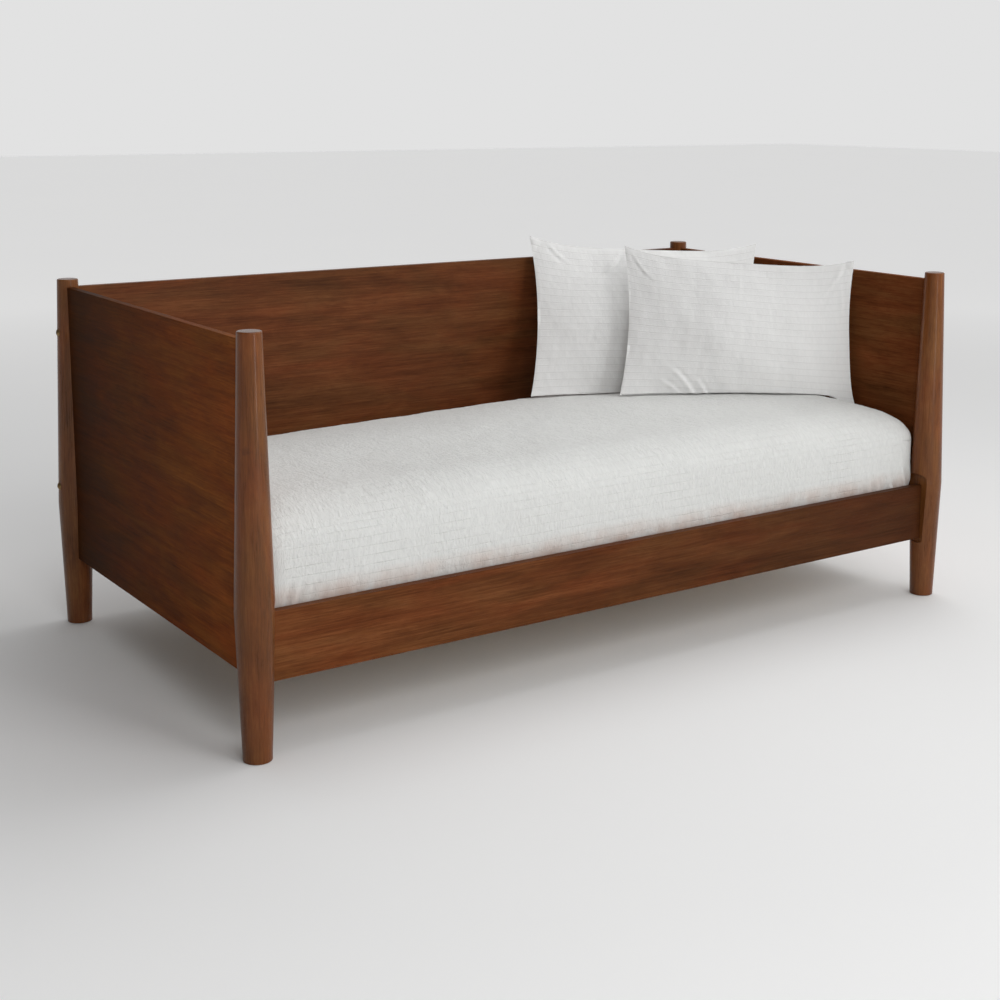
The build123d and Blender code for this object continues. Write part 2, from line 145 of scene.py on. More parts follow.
class Nodes:
    """A node tree and short ways to add nodes to it."""

    def __init__(self, tree):
        self.tree = tree

    def node(self, kind, inputs=None, **settings):
        """A node of that kind. inputs maps a socket's name or number to a value or an output."""
        node = self.tree.nodes.new(kind)
        for name, value in settings.items():
            setattr(node, name, value)
        for name, value in (inputs or {}).items():
            self.feed(node.inputs[name], value)
        return node

    def feed(self, socket, value):
        if isinstance(value, bpy.types.NodeSocket):
            self.tree.links.new(value, socket)
        else:
            socket.default_value = value

    def axis(self, vector, number):
        """One coordinate of a vector."""
        return self.node("ShaderNodeSeparateXYZ", {0: vector}).outputs[number]

    def stretched(self, vector, scale, offset=(0, 0, 0)):
        inputs = {"Vector": vector, "Scale": scale, "Location": offset}
        return self.node("ShaderNodeMapping", inputs).outputs[0]

    def noise(self, vector, scale=1.0, detail=3.0, rough=0.55, distort=0.0):
        inputs = {"Vector": vector, "Scale": scale, "Detail": detail}
        inputs.update({"Roughness": rough, "Distortion": distort})
        return self.node("ShaderNodeTexNoise", inputs).outputs[0]

    def bands(self, vector, scale, distort, direction):
        """Waves across one axis of the vector."""
        inputs = {"Vector": vector, "Scale": scale, "Distortion": distort, "Detail": 1.0}
        settings = {"wave_type": "BANDS", "bands_direction": direction}
        return self.node("ShaderNodeTexWave", inputs, **settings).outputs[1]

    def math(self, operation, a, b=0.0):
        return self.node("ShaderNodeMath", {0: a, 1: b}, operation=operation).outputs[0]

    def times(self, a, b):
        return self.math("MULTIPLY", a, b)

    def plus(self, a, b):
        return self.math("ADD", a, b)

    def minus(self, a, b):
        return self.math("SUBTRACT", a, b)

    def remap(self, value, low, high, to_low=0.0, to_high=1.0):
        inputs = {0: value, 1: low, 2: high, 3: to_low, 4: to_high}
        return self.node("ShaderNodeMapRange", inputs).outputs[0]

    def ramp(self, value, stops):
        node = self.node("ShaderNodeValToRGB", {0: value})
        ramp = node.color_ramp
        while len(ramp.elements) < len(stops):
            ramp.elements.new(0.5)
        for element, (position, colour) in zip(ramp.elements, stops):
            element.position = position
            element.color = (*colour, 1.0)
        return node.outputs[0]

    def mix(self, share, a, b, blend="MIX"):
        node = self.node("ShaderNodeMix", data_type="RGBA", blend_type=blend)
        self.feed(node.inputs[0], share)
        self.feed(node.inputs[6], rgba(a))
        self.feed(node.inputs[7], rgba(b))
        return node.outputs[2]


class Shader(Nodes):
    """A Principled material."""

    def __init__(self, name, **constants):
        self.material = bpy.data.materials.new(name)
        self.material.use_nodes = True
        super().__init__(self.material.node_tree)
        self.tree.nodes.clear()
        out = self.tree.nodes.new("ShaderNodeOutputMaterial")
        self.surface = self.tree.nodes.new("ShaderNodeBsdfPrincipled")
        self.tree.links.new(self.surface.outputs[0], out.inputs[0])
        for socket, value in constants.items():
            self.surface.inputs[socket.replace("_", " ")].default_value = value

    def place(self):
        """Position in the row frame, which moves with the piece."""
        return self.node("ShaderNodeTexCoord").outputs["Object"]

    def cloth(self):
        """Position on the flat cloth, in metres: X along a row, Y across the rows."""
        return self.node("ShaderNodeAttribute", attribute_name="cloth").outputs["Vector"]

    def finish(self, colour, rough, height, depth):
        """The material, with its colour, roughness and bump in place."""
        self.feed(self.surface.inputs["Base Color"], colour)
        self.feed(self.surface.inputs["Roughness"], rough)
        bump = self.node("ShaderNodeBump", {"Height": height, "Distance": depth, "Strength": 1.0})
        self.feed(self.surface.inputs["Normal"], bump.outputs[0])
        return self.material


def along(grain, lengthwise, crosswise):
    """Scales of a pattern that is stretched along the grain axis, 0, 1 or 2."""
    scale = [crosswise] * 3
    scale[grain] = lengthwise
    return tuple(scale)


def wood(name, grain, tones, shift, rough=(0.34, 0.48), gloss=0.10, deeper=None, knot=None, **coat):
    """Lacquered wood: broad figure, mottled tone, dark streaks, fibres and short pores.

    grain is the axis of the grain. tones are dark, middle and light. shift picks another part
    of the pattern. deeper is where along the grain the colour starts to darken, where it has
    darkened, and by what share. knot is the middle and radius of a knot.
    """
    mat = Shader(name, Specular_IOR_Level=gloss, **coat)
    place = mat.place()

    def pattern(lengthwise, crosswise, seed, **settings):
        offset = (seed + shift, 2.1 * shift - seed, 0.7 * shift + 2 * seed)
        scale = along(grain, lengthwise, crosswise)
        return mat.noise(mat.stretched(place, scale, offset), **settings)

    figure = pattern(0.7, 9.0, 0.0, detail=6.0, rough=0.62, distort=0.9)
    mottle = pattern(5.0, 19.0, 1.7, detail=4.0, rough=0.6, distort=0.7)
    bands = pattern(2.6, 75.0, 3.1, detail=5.0, rough=0.65, distort=0.3)
    lines = pattern(7.0, 300.0, 4.3, detail=3.0, rough=0.7)
    fibres = pattern(22.0, 900.0, 5.9, detail=2.0, rough=0.7)
    pores = pattern(38.0, 1500.0, 7.7, detail=1.0, rough=0.5)
    tone = mat.times(figure, 0.20)
    for part, share in ((mottle, 0.25), (bands, 0.17), (lines, 0.23), (fibres, 0.15)):
        tone = mat.plus(tone, mat.times(part, share))
    dark, middle, light = tones
    colour = mat.ramp(
        mat.remap(tone, 0.5 - TONE_SPREAD, 0.5 + TONE_SPREAD),
        [(0.0, dark), (0.5, middle), (1.0, light)],
    )
    hue = mat.remap(pattern(3.2, 13.0, 9.3, detail=3.0, distort=0.5), 0.38, 0.62)
    tint = mat.mix(hue, (0.95, 1.04, 1.03), (1.05, 0.93, 0.89))
    colour = mat.mix(1.0, colour, tint, blend="MULTIPLY")
    streaks = mat.remap(pattern(1.9, 48.0, 11.9, detail=4.0, rough=0.6, distort=0.5), 0.57, 0.72)
    colour = mat.mix(mat.times(streaks, 0.30), colour, dark)
    pore_mask = mat.remap(pores, 0.58, 0.70)
    colour = mat.mix(mat.times(pore_mask, 0.5), colour, dark)
    # the colour darkens along the grain axis, toward a dark brown
    if deeper is not None:
        start, end, share = deeper
        tone_shift = mat.remap(mat.axis(place, grain), start, end, 0.0, share)
        colour = mat.mix(tone_shift, colour, (0.012, 0.005, 0.002))
    facing = mat.axis(mat.node("ShaderNodeTexCoord").outputs["Normal"], grain)
    end_grain = mat.remap(mat.math("ABSOLUTE", facing), 0.90, 0.97, 0.0, 0.62)
    colour = mat.mix(end_grain, colour, dark)
    if knot is not None:
        centre, radius = knot
        distance = {0: place, 1: centre}
        away = mat.node("ShaderNodeVectorMath", distance, operation="DISTANCE").outputs["Value"]
        ragged = mat.times(mat.noise(place, 160.0, 2.0), 0.8 * radius)
        spot = mat.remap(mat.plus(away, ragged), 0.55 * radius, 1.5 * radius, 0.75, 0.0)
        colour = mat.mix(spot, colour, (0.030, 0.013, 0.006))
    height = mat.minus(mat.times(lines, 0.4), pore_mask)
    uneven = mat.remap(mat.plus(mottle, lines), 0.7, 1.3, *rough)
    return mat.finish(colour, uneven, height, 0.00012)


# tones of a wood: dark, middle and light
WALNUT = ((0.068, 0.0200, 0.0055), (0.142, 0.0445, 0.0135), (0.215, 0.0740, 0.0250))
WALNUT_LEG = ((0.078, 0.0260, 0.0080), (0.156, 0.0520, 0.0165), (0.235, 0.0900, 0.0330))
PALE = ((0.42, 0.27, 0.14), (0.56, 0.39, 0.22), (0.68, 0.51, 0.32))
BEECH = ((0.47, 0.31, 0.18), (0.60, 0.42, 0.26), (0.70, 0.53, 0.35))


def toned(tones, red, green, blue):
    """The same three tones, each times a factor for its red, green and blue."""
    return tuple((red * tone[0], green * tone[1], blue * tone[2]) for tone in tones)


def metal(name, colour, rough, scratch_scale, grain):
    """Metal with fine brushing, blotches of tarnish and a little roughness change."""
    mat = Shader(name, Metallic=1.0)
    place = mat.place()
    brush = mat.noise(mat.stretched(place, along(grain, 40.0, scratch_scale)), detail=3.0)
    blotch = mat.noise(place, 160.0, 4.0)
    dull = tuple(0.55 * part for part in colour)
    tarnished = mat.mix(mat.remap(blotch, 0.42, 0.72), colour, dull)
    uneven = mat.remap(mat.plus(brush, blotch), 0.7, 1.3, rough - 0.09, rough + 0.12)
    return mat.finish(tarnished, uneven, brush, 0.00002)


def nylon():
    """Moulded plastic with a fine spark-eroded texture."""
    mat = Shader("nylon", Specular_IOR_Level=0.5)
    place = mat.place()
    grain = mat.noise(place, 1500.0, 3.0)
    scuff = mat.noise(place, 90.0, 4.0)
    colour = mat.mix(scuff, (0.030, 0.027, 0.025), (0.060, 0.055, 0.050))
    return mat.finish(colour, mat.remap(scuff, 0.3, 0.7, 0.45, 0.68), grain, 0.00005)


def webbing():
    """Woven polypropylene strap: threads along it and across it."""
    mat = Shader("webbing", Sheen_Weight=0.15, Sheen_Roughness=0.5, Specular_IOR_Level=0.3)
    place = mat.place()
    warp = mat.bands(place, 130.0, 0.6, "Y")
    weft = mat.bands(place, 90.0, 0.8, "X")
    weave = mat.times(warp, weft)
    colour = mat.mix(weave, (0.42, 0.39, 0.33), (0.66, 0.63, 0.56))
    return mat.finish(colour, mat.remap(weave, 0.0, 1.0, 0.85, 0.65), weave, 0.0004)


def rows_of_tucks(mat, cloth, pitch, width):
    """A narrow line at every pitch across the rows: 1 on the line, 0 between lines."""
    phase = mat.math("PINGPONG", mat.axis(cloth, 1), pitch / 2)
    return mat.remap(phase, 0.0, width, 1.0, 0.0)


def weave_height(mat, cloth, pitch):
    """Plain weave: warp and weft threads, a little uneven."""
    uneven = mat.noise(cloth, 1.0 / (9 * pitch), 2.0)
    threads = [mat.bands(cloth, 0.31 / pitch, 0.7, direction) for direction in ("X", "Y")]
    return mat.times(mat.math("MAXIMUM", *threads), uneven)


def row_puckers(mat, cloth, pitch, scales, wander=0.0, **settings):
    """Short puckers between the rows, which start anew at each row."""
    lengthwise, crosswise, step = scales
    across = mat.axis(cloth, 1)
    row = mat.math("FLOOR", mat.math("DIVIDE", across, pitch))
    spot = {
        0: mat.plus(mat.times(mat.axis(cloth, 0), lengthwise), wander),
        1: mat.times(across, crosswise),
        2: mat.times(row, step),
    }
    return mat.noise(mat.node("ShaderNodeCombineXYZ", spot).outputs[0], detail=2.0, **settings)


def puckered_cotton():
    """Coverlet cotton: stitched rows with short puckers between them, over a weave."""
    mat = Shader("coverlet_cotton", Sheen_Weight=0.20, Sheen_Roughness=0.6, Specular_IOR_Level=0.2)
    cloth = mat.cloth()
    line = rows_of_tucks(mat, cloth, ROW_PITCH, 0.0016)
    wander = mat.noise(cloth, 14.0, 2.0)
    scales = (128.0, 46.0, 3.7)
    in_rows = row_puckers(mat, cloth, ROW_PITCH, scales, wander, rough=0.55, distort=0.35)
    crosswise = mat.stretched(cloth, (175.0, 78.0, 1.0))
    loose = mat.noise(crosswise, detail=3.0, rough=0.6, distort=0.5)
    puckers = mat.remap(mat.mix(0.5, in_rows, loose), 0.34, 0.66)
    held = mat.remap(mat.noise(cloth, 8.0, 2.0), 0.38, 0.62, 0.25, 1.0)
    line = mat.times(line, held)
    calm = mat.remap(mat.noise(cloth, 5.0, 2.0), 0.35, 0.65, 0.55, 1.0)
    weave = weave_height(mat, cloth, 0.0011)
    height = mat.minus(mat.times(puckers, calm), mat.times(line, 0.50))
    height = mat.plus(height, mat.times(weave, 0.10))
    # painted shade: the colour darkens in the hollows between puckers and along the stitched lines
    shade = mat.plus(mat.times(puckers, 0.6), 0.2)
    colour = mat.mix(shade, (0.625, 0.63, 0.615), (0.74, 0.745, 0.725))
    colour = mat.mix(mat.times(line, 0.10), colour, (0.50, 0.49, 0.48))

    # painted shade and warm light reflected from the rail, laid on the cloth near the rail's top edge
    from_rail = mat.minus(mat.axis(mat.place(), 2), rail_top)
    hem_shade = mat.remap(mat.math("ABSOLUTE", from_rail), 0.0, HEM_SHADE_BAND, HEM_SHADE_SHARE, 0.0)
    patchy = mat.remap(mat.noise(cloth, 11.0, 3.0), 0.38, 0.62, 0.25, 1.0)
    colour = mat.mix(mat.times(hem_shade, patchy), colour, (0.54, 0.38, 0.31))
    return mat.finish(colour, mat.remap(weave, 0.0, 0.8, 0.95, 0.8), height, 0.0015)


def tucked_cotton():
    """Sham cotton: a fine tuck every pitch, faint puckers, plain weave."""
    mat = Shader("sham_cotton", Sheen_Weight=0.22, Sheen_Roughness=0.6, Specular_IOR_Level=0.2)
    cloth = mat.cloth()
    line = rows_of_tucks(mat, cloth, TUCK_PITCH, 0.0022)
    puckers = row_puckers(mat, cloth, TUCK_PITCH, (120.0, 40.0, 2.3), rough=0.5)
    weave = weave_height(mat, cloth, 0.0009)
    height = mat.minus(mat.times(puckers, 0.9), mat.times(line, 0.6))
    height = mat.plus(height, mat.times(weave, 0.12))
    # painted shade: the colour darkens in the hollows between puckers and along the tucks
    colour = mat.mix(puckers, (0.835, 0.835, 0.825), (0.885, 0.885, 0.875))
    colour = mat.mix(mat.times(line, 0.18), colour, (0.50, 0.49, 0.48))
    return mat.finish(colour, mat.remap(weave, 0.0, 0.8, 0.92, 0.78), height, 0.0007)


def ticking(name, stripe, pitch):
    """Twill ticking with a narrow woven stripe."""
    mat = Shader(name, Sheen_Weight=0.15, Sheen_Roughness=0.6, Specular_IOR_Level=0.25)
    cloth = mat.cloth()
    line = rows_of_tucks(mat, cloth, pitch, 0.0012)
    weave = weave_height(mat, cloth, 0.0012)
    tone_shift = mat.noise(cloth, 6.0, 3.0)
    colour = mat.mix(tone_shift, (0.70, 0.69, 0.65), (0.80, 0.79, 0.76))
    colour = mat.mix(mat.times(line, 0.8), colour, stripe)
    return mat.finish(colour, mat.remap(weave, 0.0, 0.8, 0.95, 0.8), weave, 0.0003)


def paint(node_names, material):
    """Gives CAD nodes a material in place of their plain one."""
    for name in node_names:
        slots = nodes[name].material_slots
        for slot in slots:
            slot.material = material
        if not slots:
            nodes[name].data.materials.append(material)


def named(start):
    """Names of the CAD nodes that start like this."""
    return [name for name in nodes if name.startswith(start)]


def paint_frame():
    """Materials of every CAD node that stays."""
    # the back panel darkens toward the right: partly a deeper stain, partly painted sheen, its left
    # end kept lighter where it would reflect the white bed
    back_stain_and_sheen = (-0.9, 0.8, 0.28)
    # the rail darkens toward the right, the left panel toward the back and the legs toward the feet
    rail_darkening = (-0.8, 1.0, 0.68)
    side_darkening = (-0.50, 0.40, 0.80)
    leg_darkening = (0.45, 0.05, 0.12)
    matt = {"rough": (0.50, 0.62), "gloss": 0.02}
    bare = {"rough": (0.55, 0.7), "gloss": 0.3}
    polished = {"rough": (0.26, 0.38), "gloss": 0.12, "Coat_Weight": 0.26, "Coat_Roughness": 0.14}
    # painted light: the left panel has its own copy of the walnut tones, redder and brighter than the
    # other panels', set to how the dim light falls on that side
    walnut_left_lit_copy = toned(WALNUT, 1.65, 1.42, 0.90)
    walnut_leg = toned(WALNUT_LEG, 1.04, 0.99, 0.77)
    knot = ((-0.987, -0.534, 0.634), 0.011)
    side_left = wood("walnut_side_left_lit_copy", 1, walnut_left_lit_copy, 1.3, deeper=side_darkening, **matt)
    rail = wood("walnut_rail", 0, WALNUT, 7.7, gloss=0.05, deeper=rail_darkening)
    legs = wood("walnut_legs", 2, walnut_leg, 4.4, deeper=leg_darkening, knot=knot, **polished)
    slats = [name for name in named("slat_") if name[5:].isdigit()]
    plates = [name for name in nodes if "_plate_" in name]
    steel = metal("zinc_steel", (0.60, 0.61, 0.62), 0.32, 1200.0, 2)
    back = wood("walnut_back", 0, WALNUT, 3.1, deeper=back_stain_and_sheen)
    paint(["back_panel"], back)
    paint(["front_rail"], rail)
    paint(["side_panel_left"], side_left)
    paint(["side_panel_right"], wood("walnut_side_right", 1, WALNUT, 5.9, **matt))
    paint(named("leg_"), legs)
    paint(slats, wood("pine_slats", 1, PALE, 2.2, **bare))
    paint(["ledger_front", "ledger_back"], wood("pine_ledgers", 0, PALE, 8.2, **bare))
    paint(["side_panel_dowels"], wood("beech_dowels", 1, BEECH, 0.4, **bare))
    paint(["panel_bolts", "barrel_nuts"], metal("antique_brass", (0.30, 0.19, 0.085), 0.38, 900.0, 0))
    paint([*plates, "plate_screws", "ledger_screws", "slat_screws"], steel)
    paint(["slat_strap_front", "slat_strap_back"], webbing())
    paint(named("foot_glide_"), nylon())


# ---------- small numeric helpers ----------
def smooth(value, low, high):
    """0 below low, 1 above high, and a smooth step between."""
    share = np.clip((value - low) / (high - low), 0.0, 1.0)
    return share * share * (3.0 - 2.0 * share)


def rumple(u, v, seed, shortest, longest, count=36):
    """Smooth random field over the plane, a seeded sum of plane waves, about -1 to 1."""
    random = np.random.default_rng(seed)
    length = np.exp(random.uniform(np.log(shortest), np.log(longest), count))
    angle = random.uniform(0, 2 * pi, count)
    phase = random.uniform(0, 2 * pi, count)
    per_u = 2 * pi / length * np.cos(angle)
    per_v = 2 * pi / length * np.sin(angle)
    total = np.zeros(np.broadcast_shapes(np.shape(u), np.shape(v)))
    power = 0.0
    for wave_u, wave_v, start, size in zip(per_u, per_v, phase, length / longest):
        total += size * np.sin(wave_u * u + wave_v * v + start)
        power += size * size / 2
    return total / (2.0 * power**0.5)


def pleats(place, seed, shortest, longest, count=14):
    """Smooth random wave along a line, about -1 to 1."""
    random = np.random.default_rng(seed)
    total = np.zeros(np.shape(place))
    for length in random.uniform(shortest, longest, count):
        total += np.sin(2 * pi * place / length + random.uniform(0, 2 * pi))
    return total / (2.0 * (count / 2) ** 0.5)


def mesh_piece(name, points, faces, material, cloth=None):
    """A smooth mesh object from arrays, with its cloth coordinates as a point attribute."""
    mesh = bpy.data.meshes.new(name)
    mesh.from_pydata([tuple(p) for p in points], [], [tuple(f) for f in faces])
    mesh.polygons.foreach_set("use_smooth", [True] * len(mesh.polygons))
    if cloth is not None:
        attribute = mesh.attributes.new("cloth", "FLOAT_VECTOR", "POINT")
        attribute.data.foreach_set("vector", np.asarray(cloth, np.float32).ravel())
    mesh.materials.append(material)
    mesh.update()
    piece = bpy.data.objects.new(name, mesh)
    bpy.context.scene.collection.objects.link(piece)
    return piece


def stand_in(piece, body, node):
    """Lets a piece ride a body in place of a CAD node, which it hides."""
    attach(piece, body)
    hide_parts(node)


def sharpen(piece, indices):
    """Marks the edges between these points as sharp, so that a seam is a crisp line."""
    chosen = np.zeros(len(piece.data.vertices), bool)
    chosen[indices] = True
    for edge in piece.data.edges:
        first, second = edge.vertices
        edge.use_edge_sharp = bool(chosen[first] and chosen[second])


def vertex_normals(points, faces):
    """Unit normals at the points of a mesh of triangles and quads."""
    normals = np.zeros_like(points)
    by_size = {}
    for face in faces:
        by_size.setdefault(len(face), []).append(face)
    for group in by_size.values():
        index = np.array(group)
        first, second, third = points[index[:, 0]], points[index[:, 1]], points[index[:, 2]]
        if index.shape[1] == 4:
            area = np.cross(third - first, points[index[:, 3]] - second)
        else:
            area = np.cross(second - first, third - first)
        for corner in range(index.shape[1]):
            np.add.at(normals, index[:, corner], area)
    return normals / np.maximum(np.linalg.norm(normals, axis=1), 1e-12)[:, None]


def quads(index, turned=False):
    """Faces of a grid of indices, four to a row, turned over or not."""
    corners = [index[:-1, :-1], index[:-1, 1:], index[1:, 1:], index[1:, :-1]]
    if turned:
        corners = [corners[0], *corners[:0:-1]]
    return np.stack(corners, 2).reshape(-1, 4)


def ring_faces(previous, current):
    """Faces between two loops of points, with a triangle where the first loop repeats a point."""
    faces = []
    for k in range(len(current)):
        following = (k + 1) % len(current)
        corners = [previous[k], current[k], current[following], previous[following]]
        if corners[0] == corners[3]:
            corners = corners[:3]
        faces.append(tuple(int(c) for c in corners))
    return faces


# ---------- mattress and coverlet ----------
COVER_HALF_X = (cover_high.x - cover_low.x) / 2
COVER_HALF_Y = (cover_high.y - cover_low.y) / 2
COVER_MIDDLE_Y = (cover_high.y + cover_low.y) / 2


def crown(x, y):
    """Height of the bed's upper surface before its edges roll over."""
    sag = BACK_SAG_LEFT + (BACK_SAG_RIGHT - BACK_SAG_LEFT) * smooth(x, -1.0, 0.9)
    back = smooth(y, -0.10, cover_high.y)
    middle = 1.0 - (x / COVER_HALF_X) ** 2
    undulation = 0.0022 * rumple(x, y, 11, 0.22, 0.75) * (1.0 - smooth(y, 0.0, 0.35))
    return cover_high.z + COVER_CROWN * middle - sag * back + undulation


def roll_drop(inset, width):
    """How far a rolled edge has dropped at an inset from the side: a quarter ellipse."""
    share = np.clip(1.0 - inset / width, 0.0, 1.0)
    return ROLL_HEIGHT * (1.0 - np.sqrt(np.maximum(1.0 - share * share, 0.0)))


def soft_least(a, b):
    """Smooth minimum of two insets, which follows the plan's rounded corners."""
    blend = COVER_CORNER * (1 - 0.5**0.5) / np.log(2.0)
    least = np.minimum(a, b)
    return least - blend * np.log(np.exp(-(a - least) / blend) + np.exp(-(b - least) / blend))


def from_outline(x, y):
    """Distances of points of the plan from the ends and from the sides of the bed."""
    return COVER_HALF_X - np.abs(x), COVER_HALF_Y - np.abs(y - COVER_MIDDLE_Y)


def upper_surface(x, y, inset=None):
    """Height of the rolled upper surface at points of the plan."""
    from_ends, from_sides = from_outline(x, y)
    if inset is None:
        inset = np.maximum(soft_least(from_ends, from_sides), 0.0)
    side_width = np.where(y < COVER_MIDDLE_Y, ROLL_WIDTH_FRONT, ROLL_WIDTH_BACK)
    near_end = smooth(from_sides - from_ends, -0.06, 0.06)
    width = side_width + (ROLL_WIDTH_ENDS - side_width) * near_end
    return crown(x, y) - roll_drop(inset, width)


def slab_mesh(step, row_step, inset_all, hem):
    """Points, faces and last loop of a rolled slab that is open below.

    Each point has its place on plan, its inset from the outline and how far down the wall it is.
    """
    half_x, half_y = COVER_HALF_X - inset_all, COVER_HALF_Y - inset_all
    corner = COVER_CORNER - inset_all
    inner_x, inner_y = half_x - corner, half_y - corner
    count_x = round(2 * inner_x / step) + 1
    count_y = round(2 * inner_y / row_step) + 1
    xs = np.linspace(-inner_x, inner_x, count_x)
    ys = np.linspace(-inner_y, inner_y, count_y)
    grid = np.stack(np.meshgrid(xs, ys), 2)
    index = np.arange(count_x * count_y).reshape(count_y, count_x)
    plan = [grid.reshape(-1, 2)]
    inset = [np.full(index.size, np.nan)]
    drop = [np.zeros(index.size)]
    faces = [tuple(face) for face in quads(index).tolist()]

    # one loop round the plan: its centres, outward directions and the grid's own rim
    centres, outward, rim = [], [], []
    sides = [
        (grid[:, -1], index[:, -1], 0.0),
        (grid[-1, ::-1], index[-1, ::-1], 90.0),
        (grid[::-1, 0], index[::-1, 0], 180.0),
        (grid[0], index[0], 270.0),
    ]
    for points, indices, degrees in sides:
        centres += list(points)
        outward += [degrees] * len(points)
        rim += list(indices)
        for turn in range(1, COVER_CORNER_STEPS):
            centres.append(points[-1])
            outward.append(degrees + 90.0 * turn / COVER_CORNER_STEPS)
            rim.append(indices[-1])
    centres = np.array(centres)
    angles = np.radians(outward)
    outward = np.stack([np.cos(angles), np.sin(angles)], 1)
    loop = len(rim)

    # rings from the grid out to the outline, then rows down the wall
    ring_count = round(corner / row_step) + 3
    radii = corner * np.sin(np.linspace(0, pi / 2, ring_count + 1))[1:]
    wall_rows = round((cover_high.z - ROLL_HEIGHT - hem) / row_step)
    wall = np.linspace(0.0, 1.0, wall_rows + 1)[1:]
    previous = np.array(rim)
    start = index.size
    for radius, depth in [(r, 0.0) for r in radii] + [(corner, w) for w in wall]:
        plan.append(centres + radius * outward)
        inset.append(np.full(loop, corner - radius))
        drop.append(np.full(loop, depth))
        current = start + np.arange(loop)
        faces += ring_faces(previous, current)
        previous = current
        start += loop
    plan = np.concatenate(plan)
    plan[:, 1] += COVER_MIDDLE_Y
    return plan, np.concatenate(inset), np.concatenate(drop), faces, previous


def slab_points(plan, inset, drop, hem, lower):
    """Heights of the slab's points: the rolled top, then straight down to the hem."""
    x, y = plan[:, 0], plan[:, 1]
    measured = np.where(np.isnan(inset), -1.0, inset)
    soft = np.maximum(soft_least(*from_outline(x, y)), 0.0)
    used = np.where(measured < 0, soft, np.minimum(soft, measured + 0.004))
    used = np.where(drop > 0, 0.0, used)
    top = upper_surface(x, y, used) - lower
    return np.stack([x, y, top + (hem - top) * drop], 1)


def cloth_places(points):
    """Where each point of the slab lies on the flat cloth: rows run along X over the long sides."""
    x, y, z = points.T
    top = cover_high.z - 0.5 * ROLL_HEIGHT
    down = np.maximum(top - z, 0.0)
    over_end = smooth(np.abs(x), COVER_HALF_X - 0.06, COVER_HALF_X - 0.01)
    along_row = x + np.sign(x) * over_end * down
    across = (y - COVER_MIDDLE_Y) + np.sign(y - COVER_MIDDLE_Y) * (1 - over_end) * down
    return np.stack([along_row, across, np.zeros_like(x)], 1)


def make_coverlet():
    """Fitted coverlet: rolled edges, stitched rows, soft rumples and a gathered hem."""
    hem = cover_low.z + 0.003
    plan, inset, drop, faces, _ = slab_mesh(COVER_STEP, COVER_ROW_STEP, 0.0, hem)
    points = slab_points(plan, inset, drop, hem, 0.0)
    cloth = cloth_places(points)
    x, y, z = points.T
    normals = vertex_normals(points, faces)

    # distance from the nearest corner of the plan, which has most of the gathers and no bulge
    from_corner = np.hypot(*(np.maximum(d - COVER_CORNER, 0.0) for d in from_outline(x, y)))
    wall = smooth(cover_high.z - 0.05 - z, 0.0, 0.05)
    bulge = 0.0026 * np.sin(pi * np.clip((z - hem) / (cover_high.z - hem), 0, 1)) * wall
    bulge *= smooth(from_corner, 0.03, 0.25)

    soft = 0.0010 * rumple(cloth[:, 0], cloth[:, 1], 5, 0.035, 0.22, 60)
    row_phase = np.abs((cloth[:, 1] / ROW_PITCH) % 1.0 - 0.5) * 2
    rows = -0.0003 * smooth(row_phase, 0.62, 1.0)
    pucker = 0.0004 * rumple(cloth[:, 0], cloth[:, 1] * 0.35, 9, 0.011, 0.030, 60)

    # gathers just above the hem: folds along the wall, fanned near the corners
    on_end = np.abs(x) / COVER_HALF_X > np.abs(y - COVER_MIDDLE_Y) / COVER_HALF_Y
    girth = np.where(on_end, y, x)
    lean = 0.22 * np.sin(9.0 * girth)
    fold_place = girth + lean * (z - hem)
    folds = pleats(fold_place, 21, 0.021, 0.055)
    ramp = smooth(cover_low.z + 0.115 - z, 0.0, 0.075)
    near_corner = 1.0 - smooth(from_corner, 0.02, 0.22)
    gather = folds * ramp * (0.0016 + 0.0060 * near_corner)

    points = points + normals * (bulge + soft + rows + pucker + gather)[:, None]
    tuck_in = 0.0045 * smooth(cover_low.z + 0.075 - z, 0.0, 0.07)
    flat_normals = normals * np.array([1, 1, 0])
    points -= flat_normals * tuck_in[:, None]
    points[:, 1] = np.maximum(points[:, 1], cover_low.y - 0.0045)

    return mesh_piece("coverlet_cloth", points, faces, puckered_cotton(), cloth)


def make_mattress():
    """Mattress inside the coverlet, with tape edges and a closed underside."""
    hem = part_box("mattress")[0].z + 0.0008
    plan, inset, drop, faces, rim = slab_mesh(CORE_STEP, CORE_ROW_STEP, CORE_GAP, hem)
    points = slab_points(plan, inset, drop, hem, CORE_GAP + 0.001)
    x, y, z = points.T
    normals = vertex_normals(points, faces)
    tape = np.exp(-(((z - hem - 0.012) / 0.006) ** 2)) * 0.002
    under = smooth(hem + 0.02 - z, 0.0, 0.02) * 0.010
    flat_normals = normals * np.array([1, 1, 0])
    points = points + flat_normals * (tape - under - 0.004)[:, None]
    cloth = cloth_places(points)

    # the underside: the rim's own loop, brought in ring by ring
    centre = np.array([0.0, COVER_MIDDLE_Y])
    outer = points[rim][:, :2] - centre
    loop = len(rim)
    previous = rim
    extra = []
    for ring in range(1, CORE_RINGS):
        spot = centre + outer * (1.0 - ring / CORE_RINGS)
        quilting = 0.0006 * rumple(spot[:, 0], spot[:, 1], 31, 0.03, 0.12)
        extra.append(np.column_stack([spot, hem + 0.0008 + np.abs(quilting)]))
        current = len(points) + (ring - 1) * loop + np.arange(loop)
        faces += ring_faces(previous, current)
        previous = current
    extra.append(np.array([[*centre, hem + 0.001]]))
    hub = len(points) + (CORE_RINGS - 1) * loop
    faces += [(int(previous[k]), hub, int(previous[(k + 1) % loop])) for k in range(loop)]
    added = np.concatenate(extra)
    points = np.concatenate([points, added])
    cloth = np.concatenate([cloth, added * np.array([1, 1, 0])])
    material = ticking("mattress_ticking", (0.35, 0.40, 0.46), 0.03)
    return mesh_piece("mattress_core", points, faces, material, cloth)


